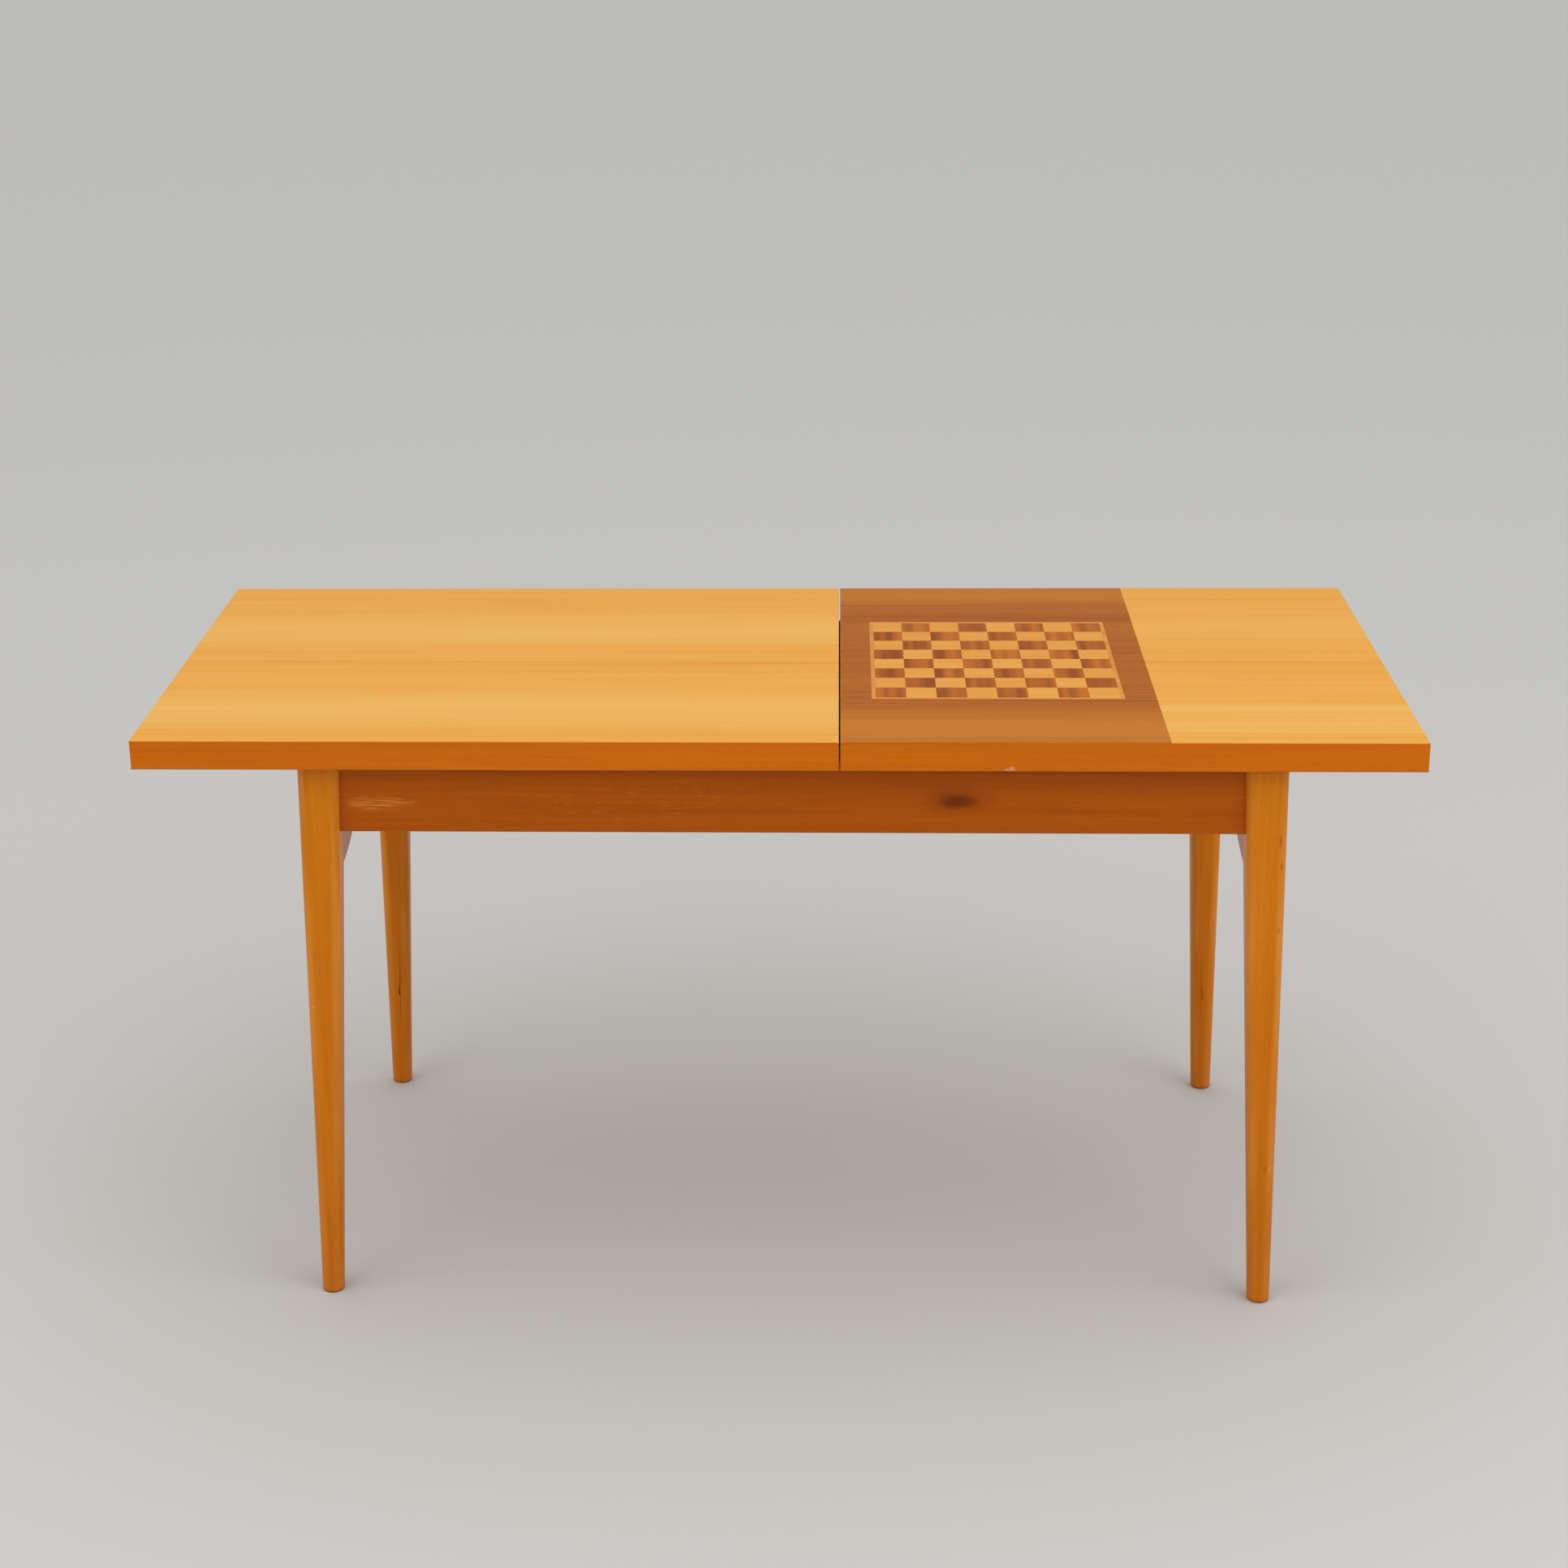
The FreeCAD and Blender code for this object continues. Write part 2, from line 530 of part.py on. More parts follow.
# Aprons, cut to the slope of the legs at both ends, and their guide rails
for y_name, y_sign in FRONT_AND_BACK:
    low = ("dims.frame_offset - dims.leg_top_x", f"{y_sign} * dims.leg_top_y - dims.rail_thickness / 2",
           APRON_BOTTOM)
    plank_size = ("2 * dims.leg_top_x", "dims.rail_thickness", "dims.apron_height")
    plank = make_box(f"{y_name}_apron_plank", low, plank_size)
    fitted = cut(f"{y_name}_apron_fitted", plank, leg_blank_group)
    keep(cut(f"{y_name}_apron", fitted, frame_fasteners), f"{y_name}_apron")
    guide_blank = make_guide(f"{y_name}_guide_rail_blank", y_sign)
    keep(cut(f"{y_name}_guide_rail", guide_blank, guide_screw_group), f"{y_name}_guide_rail")

# End rails, cut to the slope of the legs at both ends
for x_name, x_sign in LEFT_AND_RIGHT:
    rail_name = f"{x_name}_end_rail"
    fitted = cut(f"{rail_name}_fitted", make_end_rail_blank(rail_name, x_sign), leg_blank_group)
    keep(cut(rail_name, fitted, dowel_group), rail_name)

# Tray for the game pieces: cross rails, ledges and a loose bottom panel
for rail_name, start in cross_rails.items():
    block = make_box(f"tray_cross_rail_{rail_name}_blank", (start, f"-{APRON_INNER}", TRAY_BOTTOM),
                     ("dims.cross_rail_thickness", f"2 * {APRON_INNER}", "dims.cross_rail_height"))
    keep(cut(f"tray_cross_rail_{rail_name}", block, tray_dowel_group), f"tray_cross_rail_{rail_name}")
ledge_size = (f"{TRAY_RIGHT} - {TRAY_LEFT}", "dims.ledge_side", "dims.ledge_side")
keep(make_box("tray_ledge_front", (TRAY_LEFT, f"-{APRON_INNER}", TRAY_BOTTOM), ledge_size),
     "tray_ledge_front")
keep(make_box("tray_ledge_back", (TRAY_LEFT, f"{APRON_INNER} - dims.ledge_side", TRAY_BOTTOM), ledge_size),
     "tray_ledge_back")
keep(make_box("tray_bottom",
              (f"{TRAY_LEFT} + dims.tray_panel_play", f"dims.tray_panel_play - {APRON_INNER}",
               f"{TRAY_BOTTOM} + dims.ledge_side"),
              (f"{TRAY_RIGHT} - {TRAY_LEFT} - 2 * dims.tray_panel_play",
               f"2 * ({APRON_INNER} - dims.tray_panel_play)", "dims.tray_panel_thickness")),
     "tray_bottom")

# The two leaves of the top
make_leaf("left", f"-{HALF_LENGTH}", "dims.left_leaf_length", "left", LEFT_RUNNER_START, LEFT_RUNNER_END)
make_leaf("right", SEAM_RIGHT, RIGHT_LEAF_LENGTH, "right", RIGHT_RUNNER_START, RIGHT_RUNNER_END)
make_top_veneer("left_leaf_top_veneer", f"-{HALF_LENGTH}", SEAM_LEFT, ("left", "right", "front", "back"))
make_top_veneer("right_leaf_light_veneer", DARK_END, HALF_LENGTH, ("right", "front", "back"))
inlay_low = (f"({FIELD_CENTRE} - {BORDER_SIDE} / 2)", f"(-{BORDER_SIDE} / 2)")
inlay_high = (f"({FIELD_CENTRE} + {BORDER_SIDE} / 2)", f"({BORDER_SIDE} / 2)")
make_top_veneer("right_leaf_dark_veneer", SEAM_RIGHT, DARK_END, ("left", "front", "back"),
                (inlay_low, inlay_high))

# Inlaid chessboard: four border strips and the squares, with a dark square at the near left corner
field_low = (f"{inlay_low[0]} + dims.border_width", f"{inlay_low[1]} + dims.border_width")
across = (BORDER_SIDE, "dims.border_width", "dims.veneer_thickness")
upright = ("dims.border_width", FIELD_SIDE, "dims.veneer_thickness")
field_high = (f"{inlay_high[0]} - dims.border_width", f"{inlay_high[1]} - dims.border_width")
border = [make_box("border_front", (inlay_low[0], inlay_low[1], INLAY_BOTTOM), across),
          make_box("border_back", (inlay_low[0], field_high[1], INLAY_BOTTOM), across),
          make_box("border_left", (inlay_low[0], field_low[1], INLAY_BOTTOM), upright),
          make_box("border_right", (field_high[0], field_low[1], INLAY_BOTTOM), upright)]
keep(make_group("chess_border", border), "chess_border", len(border))
squares = {"dark": [], "light": []}
for column in range(SQUARES_PER_SIDE):
    for rank in range(SQUARES_PER_SIDE):
        shade = "dark" if (column + rank) % 2 == 0 else "light"
        corner = (f"{field_low[0]} + {column} * dims.square_side",
                  f"{field_low[1]} + {rank} * dims.square_side", INLAY_BOTTOM)
        size = ("dims.square_side", "dims.square_side", "dims.veneer_thickness")
        squares[shade].append(make_box(f"square_{column}_{rank}", corner, size))
for shade, members in squares.items():
    keep(make_group(f"chess_{shade}_squares", members), f"chess_{shade}_squares", len(members))

doc.recompute()
for item in doc.Objects:
    if "Invalid" in item.State or "Error" in item.State:
        raise RuntimeError(f"{item.Label} failed: {item.State}")
for label, (piece, solids) in pieces.items():
    shape = piece.Shape
    if shape.isNull() or not shape.isValid() or len(shape.Solids) != solids:
        raise RuntimeError(f"{label} has no valid shape of {solids} solids")

os.makedirs("parts", exist_ok=True)
for label, (piece, solids) in pieces.items():
    piece.Shape.exportStep(f"parts/{label}.step")
print(len(pieces), "pieces written")
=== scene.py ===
"""Looks of a coffee table with a split sliding top, an inlaid chessboard and a games tray.

Metres, +X to the right along the table, -Y to the front, +Z up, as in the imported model.
"""
import bmesh
import bpy
import json
import math
from mathutils import Matrix, Vector

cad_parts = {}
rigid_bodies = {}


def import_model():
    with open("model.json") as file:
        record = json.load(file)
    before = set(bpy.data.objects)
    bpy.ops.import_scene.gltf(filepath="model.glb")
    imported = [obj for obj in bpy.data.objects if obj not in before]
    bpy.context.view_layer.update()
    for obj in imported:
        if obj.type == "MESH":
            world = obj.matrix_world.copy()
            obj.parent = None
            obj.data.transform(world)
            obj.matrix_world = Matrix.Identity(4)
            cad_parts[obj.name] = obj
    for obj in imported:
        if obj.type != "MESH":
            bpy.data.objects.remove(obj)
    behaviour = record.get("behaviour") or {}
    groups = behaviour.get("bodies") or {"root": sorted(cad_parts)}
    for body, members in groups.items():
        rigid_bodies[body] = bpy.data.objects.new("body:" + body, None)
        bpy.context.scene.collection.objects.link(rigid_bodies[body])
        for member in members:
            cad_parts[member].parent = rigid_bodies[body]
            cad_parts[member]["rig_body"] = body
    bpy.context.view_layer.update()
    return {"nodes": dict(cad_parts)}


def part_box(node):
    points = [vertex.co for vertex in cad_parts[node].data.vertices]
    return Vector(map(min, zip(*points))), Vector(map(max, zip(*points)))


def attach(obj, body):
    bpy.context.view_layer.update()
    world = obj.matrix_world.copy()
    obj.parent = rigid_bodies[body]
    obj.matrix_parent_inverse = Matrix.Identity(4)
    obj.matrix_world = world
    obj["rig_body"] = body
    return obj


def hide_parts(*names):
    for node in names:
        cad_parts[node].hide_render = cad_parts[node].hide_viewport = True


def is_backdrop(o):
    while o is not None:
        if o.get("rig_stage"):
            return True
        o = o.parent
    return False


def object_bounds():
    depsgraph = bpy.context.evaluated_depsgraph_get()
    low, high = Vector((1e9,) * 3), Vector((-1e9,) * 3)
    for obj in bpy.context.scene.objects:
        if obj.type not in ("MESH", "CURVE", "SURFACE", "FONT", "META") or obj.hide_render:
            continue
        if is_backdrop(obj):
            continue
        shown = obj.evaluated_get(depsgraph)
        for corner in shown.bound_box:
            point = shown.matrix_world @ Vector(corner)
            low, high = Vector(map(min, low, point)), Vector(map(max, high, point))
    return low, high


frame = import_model()


# Legs: four solid beech legs, stained orange-brown and lacquered. Each tapers from a square head with
# rounded edges to a nearly round foot and leans out a little. Dowels hold it to an apron and an end rail.
X, Y, Z = 0, 1, 2


class Wire:
    """A socket in a node tree. Arithmetic on it adds Math nodes, and node() adds any other node."""

    def __init__(self, tree, socket=None):
        self.tree = tree
        self.socket = socket

    def node(self, kind, settings=None, inputs=None, output=0):
        """Add a node: its settings first, then the values or links of its sockets."""
        added = self.tree.nodes.new(kind)
        for name, setting in (settings or {}).items():
            setattr(added, name, setting)
        for name, source in (inputs or {}).items():
            if isinstance(source, Wire):
                self.tree.links.new(source.socket, added.inputs[name])
            else:
                added.inputs[name].default_value = source
        return Wire(self.tree, added.outputs[output] if added.outputs else None)

    def math(self, operation, *values):
        return self.node("ShaderNodeMath", {"operation": operation}, dict(enumerate(values)))

    def vector_math(self, operation, *values, output=0):
        return self.node("ShaderNodeVectorMath", {"operation": operation}, dict(enumerate(values)), output)

    def clamped(self):
        return self.node("ShaderNodeClamp", None, {"Value": self})

    def __abs__(self):
        return self.math("ABSOLUTE", self)

    def __add__(self, other):
        return self.math("ADD", self, other)

    def __sub__(self, other):
        return self.math("SUBTRACT", self, other)

    def __rsub__(self, other):
        return self.math("SUBTRACT", other, self)

    def __mul__(self, other):
        return self.math("MULTIPLY", self, other)

    def __truediv__(self, other):
        return self.math("DIVIDE", self, other)

    __radd__ = __add__
    __rmul__ = __mul__


def colour(red, green, blue):
    """A colour as seen, each part from 0 to 255, in the linear values that shaders take."""
    parts = [part / 255 for part in (red, green, blue)]
    return (*[part / 12.92 if part <= 0.04045 else ((part + 0.055) / 1.055) ** 2.4 for part in parts], 1.0)


def new_material(name):
    """An empty material and the wire of a surface point's place on the table."""
    material = bpy.data.materials.new(name)
    material.use_nodes = True
    material.node_tree.nodes.clear()
    place = Wire(material.node_tree).node("ShaderNodeTexCoord", output="Object")
    return material, place


def blend(share, first, second):
    """The first colour where share is 0 and the second where it is 1."""
    factor, colour_a, colour_b, mixed = 0, 6, 7, 2
    return share.node("ShaderNodeMix", {"data_type": "RGBA"},
                      {factor: share, colour_a: first, colour_b: second}, output=mixed)


def grain_noise(place, axis, length, width, detail=2.0):
    """Noise drawn out along the grain, in features of about that length and width."""
    stretch = [1 / width] * 3
    stretch[axis] = 1 / length
    drawn = place.node("ShaderNodeMapping", None, {"Vector": place, "Scale": stretch})
    return drawn.node("ShaderNodeTexNoise", None, {"Vector": drawn, "Scale": 1.0, "Detail": detail})


def sway(place, reach, spread):
    """Places pushed about slowly, by up to about reach, so that the grain isn't ruler straight."""
    drift = place.node("ShaderNodeTexNoise", None, {"Vector": place, "Scale": 1 / spread, "Detail": 1.0},
                       output="Color")
    centred = drift.vector_math("SUBTRACT", drift, (0.5, 0.5, 0.5))
    push = centred.vector_math("MULTIPLY", centred, [2 * reach] * 3)
    return place.vector_math("ADD", place, push)


def along(place, axis):
    """A surface point's distance along one axis."""
    return place.node("ShaderNodeSeparateXYZ", None, {"Vector": place}, output=axis)


def finish_surface(place, tone, roughness, lacquer, height, relief, shine=0.2):
    """Close a material: its colour, its roughness, a lacquer coat and a fine relief."""
    bump = height.node("ShaderNodeBump", None, {"Height": height, "Strength": 1.0, "Distance": relief})
    shader = place.node("ShaderNodeBsdfPrincipled", None, {
        "Base Color": tone, "Roughness": roughness, "Normal": bump, "Specular IOR Level": shine,
        "Coat Weight": lacquer, "Coat Roughness": 0.08, "Coat IOR": 1.4})
    shader.node("ShaderNodeOutputMaterial", None, {"Surface": shader})


def solid_wood(name, axis, pale, deep, fleck, roughness=0.34, lacquer=0.1, shine=0.08, marks=()):
    """Beech: soft streaks along the grain, fine fibres and short dark flecks, with marks of use over them.

    A mark is a function from a surface point's place to a mask, the mark's colour and its strength.
    """
    material, place = new_material(name)
    grain = sway(place, reach=0.004, spread=0.25)
    bands = grain_noise(grain, axis, length=0.8, width=0.022, detail=3.0)
    streaks = grain_noise(grain, axis, length=0.22, width=0.004, detail=3.0)
    fibres = grain_noise(grain, axis, length=0.03, width=0.0007)
    flecks = grain_noise(place, axis, length=0.0045, width=0.0006)
    depth = (bands - 0.5) * 1.5 + (streaks - 0.5) * 0.9 + (fibres - 0.5) * 0.5 + 0.5
    tone = blend(depth.clamped(), pale, deep)
    tone = blend(((flecks - 0.62) * 8.0).clamped() * 0.4, tone, fleck)
    for mask, stain, strength in marks:
        tone = blend(mask(place) * strength, tone, stain)
    gloss = (streaks - 0.5) * 0.2 + roughness
    finish_surface(place, tone, gloss, lacquer, fibres, 0.00003, shine)
    return material


def spot(centre, radii, ragged=0.35, firm=1.0):
    """A mark with a slightly ragged rim: 1 at its centre and 0 outside its radii.

    A firm one is flat inside.
    """
    def mask(place):
        offset = place.vector_math("SUBTRACT", place, centre)
        scaled = offset.vector_math("DIVIDE", offset, radii)
        distance = scaled.vector_math("LENGTH", scaled, output="Value")
        rim = scaled.node("ShaderNodeTexNoise", None, {"Vector": scaled, "Scale": 2.0, "Detail": 3.0})
        return ((1.0 - distance + (rim - 0.5) * ragged * 2) * firm).clamped()
    return mask


def rubbed_and_highlit_edges(place):
    """The upright rounded edges of a leg, painted lighter: partly where hands and knees rub the stain thin,
    partly as a painted highlight.
    """
    diagonal = math.sqrt(0.5)
    edge_start, edge_gain = 0.74, 5.0
    normal = place.node("ShaderNodeTexCoord", output="Normal")
    one_way = normal.vector_math("DOT_PRODUCT", normal, (diagonal, diagonal, 0.0), output="Value")
    other_way = normal.vector_math("DOT_PRODUCT", normal, (diagonal, -diagonal, 0.0), output="Value")
    facing = abs(one_way)
    roundness = ((facing.math("MAXIMUM", facing, abs(other_way)) - edge_start) * edge_gain).clamped()
    rub = grain_noise(place, Z, length=0.12, width=0.02, detail=3.0)
    return roundness * ((rub - 0.25) * 2.5).clamped()


def painted_foot_shade(place):
    """The lower part of a leg, painted darker towards the foot as shade."""
    deep_below = 0.40
    return (1.0 - along(place, Z) / deep_below).clamped()


def near_floor(place):
    """The lowest few millimetres of a leg, painted darker."""
    dirt_height = 0.004
    return (1.0 - along(place, Z) / dirt_height).clamped()


def dress(material, *nodes):
    """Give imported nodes, whose shape is right as it is, a finish."""
    for node in nodes:
        frame["nodes"][node].material_slots[0].material = material


leg_dent, leg_nick = colour(134, 66, 6), colour(242, 168, 84)
# The legs lean, so at the dents their front face lies this far behind the front of the foot.
FACE_SETBACK = 0.010
DENT_REACH = 0.012
dent_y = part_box("leg_front_right")[0].y + FACE_SETBACK
leg_marks = [
    # Lighter rounded edges: partly rubbed stain, partly a painted highlight.
    (rubbed_and_highlit_edges, colour(238, 156, 58), 0.7),
    # Painted shade: the legs darken towards the foot.
    (painted_foot_shade, colour(190, 86, 0), 0.4),
    (near_floor, colour(96, 48, 14), 0.7),
    (spot((0.4825, dent_y, 0.4956), (0.0018, DENT_REACH, 0.0090)), leg_dent, 0.75),
    (spot((0.4845, dent_y, 0.4705), (0.0016, DENT_REACH, 0.0060)), leg_dent, 0.7),
    (spot((0.4847, dent_y, 0.4043), (0.0016, DENT_REACH, 0.0040)), leg_dent, 0.65),
    (spot((0.4834, dent_y - 0.007, 0.1498), (0.0030, DENT_REACH, 0.0050)), leg_dent, 0.4),
    (spot((0.4878, dent_y - 0.007, 0.1495), (0.0016, DENT_REACH, 0.0060)), leg_nick, 0.7),
    (spot((-0.4556, dent_y - 0.004, 0.3180), (0.0026, DENT_REACH, 0.0026)), leg_nick, 0.8),
]
leg_finish = solid_wood("leg_finish", Z, colour(230, 136, 18), colour(205, 110, 4), colour(152, 74, 8),
                        marks=leg_marks)
dress(leg_finish, "leg_front_left", "leg_front_right", "leg_back_left", "leg_back_right")


# Aprons and end rails: beech planks of a darker stain than the legs, with eased arrises. The aprons are
# straight, and the end rails are deeper beside the legs. The front apron has a knot, a scuff and scratches.
def runs_along(*axes):
    """A test for edges that run mostly along one of the axes."""
    mostly = 0.7

    def test(edge):
        direction = (edge.verts[1].co - edge.verts[0].co).normalized()
        return any(abs(direction[axis]) > mostly for axis in axes)
    return test


def eased_copy(node, material, radius, is_arris):
    """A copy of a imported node, in its place, with the long arrises that is_arris picks rounded over."""
    weld, flat, sharp, shortest = 1e-6, math.radians(0.2), math.radians(35), 0.004
    source = frame["nodes"][node]
    shape = bmesh.new()
    shape.from_mesh(source.data)
    bmesh.ops.remove_doubles(shape, verts=shape.verts, dist=weld)
    bmesh.ops.dissolve_limit(shape, angle_limit=flat, verts=shape.verts, edges=shape.edges)
    arrises = [edge for edge in shape.edges
               if edge.is_convex and edge.calc_length() > shortest
               and edge.calc_face_angle() > sharp and is_arris(edge)]
    bmesh.ops.bevel(shape, geom=arrises, offset=radius, segments=3, profile=0.5, affect="EDGES",
                    clamp_overlap=True)
    mesh = bpy.data.meshes.new(f"{node}_eased")
    shape.to_mesh(mesh)
    shape.free()
    stand_in(mesh, material, node)


def stand_in(mesh, material, node):
    """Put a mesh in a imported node's place, on the node's body and with the node's material slot."""
    crease = math.radians(20)
    if "custom_normal" in mesh.attributes:
        mesh.attributes.remove(mesh.attributes["custom_normal"])
    mesh.shade_smooth()
    mesh.set_sharp_from_angle(angle=crease)
    mesh.materials.clear()
    mesh.materials.append(material)
    piece = bpy.data.objects.new(mesh.name, mesh)
    bpy.context.scene.collection.objects.link(piece)
    source = frame["nodes"][node]
    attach(piece, source["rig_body"])
    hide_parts(node)


def scuff(place):
    """A rubbed patch at the left end, streaked along the plank."""
    patch = spot((-0.3815, apron_face, 0.5285), (0.040, 0.010, 0.0085), ragged=0.5, firm=1.6)(place)
    streaks = grain_noise(place, X, length=0.022, width=0.0014, detail=3.0)
    return patch * ((streaks - 0.38) * 4.0).clamped()


def fine_scratches(place):
    """Short, thin scratches along the plank, most of them left of its middle."""
    patch = spot((-0.1495, apron_face, 0.536), (0.20, 0.010, 0.035), ragged=0.6, firm=1.5)(place)
    scratches = grain_noise(place, X, length=0.016, width=0.0016, detail=1.0)
    return patch * ((scratches - 0.58) * 7.0).clamped()


RAIL_ARRIS = 0.0012
rail_pale, rail_deep, rail_fleck = colour(201, 98, 0), colour(173, 77, 0), colour(118, 47, 0)
apron_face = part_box("front_apron")[0].y
scratch, rubbed_rail = colour(214, 114, 30), colour(228, 146, 64)
knot_halo, knot_core = colour(148, 64, 0), colour(116, 45, 0)
apron_marks = [
    (fine_scratches, scratch, 0.7),
    (spot((0.1745, apron_face, 0.5330), (0.042, 0.010, 0.017), ragged=0.25, firm=1.3), knot_halo, 0.65),
    (spot((0.1755, apron_face, 0.5322), (0.022, 0.010, 0.009), ragged=0.3, firm=1.6), knot_core, 0.8),
    (scuff, rubbed_rail, 0.85),
]
apron_finish = solid_wood("apron_finish", X, rail_pale, rail_deep, rail_fleck, marks=apron_marks)
end_rail_finish = solid_wood("end_rail_finish", Y, rail_pale, rail_deep, rail_fleck, shine=0.2)
for apron in ("front_apron", "back_apron"):
    eased_copy(apron, apron_finish, RAIL_ARRIS, runs_along(X))
for end_rail in ("left_end_rail", "right_end_rail"):
    eased_copy(end_rail, end_rail_finish, RAIL_ARRIS, runs_along(Y))


# Dowels and corner blocks: plain beech, not stained. The dowels are glued into the joints of the frame and
# don't show. The three-cornered blocks are sawn, eased by hand and glued into the frame's corners.
beech_pale, beech_deep, beech_fleck = colour(226, 186, 140), colour(196, 150, 104), colour(150, 102, 64)
beech_along_x, beech_along_y, beech_along_z = [
    solid_wood(f"beech_along_{name}", axis, beech_pale, beech_deep, beech_fleck, roughness=0.6, lacquer=0.0)
    for name, axis in zip("xyz", (X, Y, Z))]
BEECH_ARRIS = 0.0008
dress(beech_along_x, "frame_dowels")
dress(beech_along_y, "tray_dowels")
for corner in ("front_left", "front_right", "back_left", "back_right"):
    eased_copy(f"corner_block_{corner}", beech_along_z, BEECH_ARRIS, runs_along(X, Y, Z))


# Guide rails: grooved beech rails on the inside of the aprons, in which the leaves' runners slide. Steel
# wood screws with slotted, countersunk heads hold them. Each slot stands as the screwdriver left it.
def new_tree(name, sockets):
    """A geometry tree with named inputs, and the wires of those inputs."""
    tree = bpy.data.node_groups.new(name, "GeometryNodeTree")
    tree.interface.new_socket("Geometry", in_out="OUTPUT", socket_type="NodeSocketGeometry")
    for socket, kind in sockets.items():
        tree.interface.new_socket(socket, in_out="INPUT", socket_type=f"NodeSocket{kind}")
    source = tree.nodes.new("NodeGroupInput")
    return tree, {socket: Wire(tree, source.outputs[socket]) for socket in sockets}


def close_tree(instances, material):
    """End a tree as plain mesh: instances made real, with their material."""
    real = instances.node("GeometryNodeRealizeInstances", None, {"Geometry": instances})
    finished = real.node("GeometryNodeSetMaterial", None, {"Geometry": real, "Material": material})
    finished.node("NodeGroupOutput", None, {"Geometry": finished})


def grow(name, tree, seeds, values):
    """The plain mesh that a tree makes of a mesh of seed points, with values for its named inputs."""
    piece = bpy.data.objects.new(name, seeds)
    bpy.context.scene.collection.objects.link(piece)
    modifier = piece.modifiers.new(tree.name, "NODES")
    modifier.node_group = tree
    for socket in tree.interface.items_tree:
        if socket.name in values:
            modifier[socket.identifier] = values[socket.name]
    evaluated = piece.evaluated_get(bpy.context.evaluated_depsgraph_get())
    mesh = bpy.data.meshes.new_from_object(evaluated)
    mesh.name = name
    piece.modifiers.clear()
    bpy.data.objects.remove(piece)
    return mesh


def make_screw_tree():
    """A countersunk wood screw with a slotted head on each seed point, driven along the point's drive."""
    tree, wire = new_tree("slotted_screws", {
        "Geometry": "Geometry", "Head radius": "Float", "Shank radius": "Float", "Head height": "Float",
        "Length": "Float", "Slot width": "Float", "Slot depth": "Float", "Seed": "Int",
        "Material": "Material"})
    start = Wire(tree)
    slimmer, shorter = 0.98, 0.0004
    float_max, random_seed, random_float = 3, 8, 1
    head = start.node("GeometryNodeMeshCone", None, {
        "Vertices": 32, "Radius Top": wire["Shank radius"], "Radius Bottom": wire["Head radius"],
        "Depth": wire["Head height"]})
    rod = start.node("GeometryNodeMeshCylinder", None, {
        "Vertices": 20, "Radius": wire["Shank radius"] * slimmer, "Depth": wire["Length"] - shorter})
    drop = start.node("ShaderNodeCombineXYZ", None, {"Z": wire["Length"] / 2})
    shank = rod.node("GeometryNodeTransform", None, {"Geometry": rod, "Translation": drop})
    blank = head.node("GeometryNodeMeshBoolean", {"operation": "UNION"}, {"Mesh 2": head})
    head.tree.links.new(shank.socket, blank.socket.node.inputs["Mesh 2"])
    # The slot's cutter is longer than the head is wide, and half of it stands out of the head.
    slot_size = start.node("ShaderNodeCombineXYZ", None, {
        "X": wire["Head radius"] * 3.0, "Y": wire["Slot width"], "Z": wire["Slot depth"] * 2.0})
    slot = start.node("GeometryNodeMeshCube", None, {"Size": slot_size})
    screw = blank.node("GeometryNodeMeshBoolean", {"operation": "DIFFERENCE"},
                       {"Mesh 1": blank, "Mesh 2": slot})
    drive = start.node("GeometryNodeInputNamedAttribute", {"data_type": "FLOAT_VECTOR"}, {"Name": "drive"})
    aimed = start.node("FunctionNodeAlignRotationToVector", {"axis": "Z"}, {"Vector": drive})
    turn = start.node("FunctionNodeRandomValue", {"data_type": "FLOAT"},
                      {float_max: math.pi, random_seed: wire["Seed"]}, output=random_float)
    spin = start.node("FunctionNodeAxisAngleToRotation", None, {"Axis": (0.0, 0.0, 1.0), "Angle": turn})
    stance = start.node("FunctionNodeRotateRotation", {"rotation_space": "LOCAL"},
                        {"Rotation": aimed, "Rotate By": spin})
    points = start.node("GeometryNodeMeshToPoints", None, {"Mesh": wire["Geometry"]})
    instances = points.node("GeometryNodeInstanceOnPoints", None,
                            {"Points": points, "Instance": screw, "Rotation": stance})
    close_tree(instances, wire["Material"])
    return tree


def add_screws(node, places, length, seed):
    """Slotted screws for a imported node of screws, at (head face, direction driven in) places."""
    seeds = bpy.data.meshes.new(f"{node}_seeds")
    seeds.from_pydata([place for place, drive in places], [], [])
    drives = seeds.attributes.new("drive", "FLOAT_VECTOR", "POINT")
    for index, (place, drive) in enumerate(places):
        drives.data[index].vector = drive
    mesh = grow(f"{node}_slotted", screw_tree, seeds, {
        "Head radius": SCREW_HEAD_RADIUS, "Shank radius": SCREW_SHANK_RADIUS,
        "Head height": SCREW_HEAD_HEIGHT, "Length": length, "Slot width": SCREW_SLOT_WIDTH,
        "Slot depth": SCREW_SLOT_DEPTH, "Seed": seed, "Material": screw_finish})
    stand_in(mesh, screw_finish, node)


def make_screw_finish():
    """Plain steel, dulled by age: greyer and rougher in patches."""
    material, place = new_material("screw_finish")
    dull = place.node("ShaderNodeTexNoise", None, {"Vector": place, "Scale": 700.0, "Detail": 4.0})
    tone = blend(((dull - 0.4) * 3.0).clamped(), colour(196, 192, 184), colour(138, 130, 120))
    shader = place.node("ShaderNodeBsdfPrincipled", None, {
        "Base Color": tone, "Roughness": dull * 0.5 + 0.15, "Metallic": 1.0})
    shader.node("ShaderNodeOutputMaterial", None, {"Surface": shader})
    return material


def evenly(first, last, count):
    return [first + (last - first) * index / (count - 1) for index in range(count)]


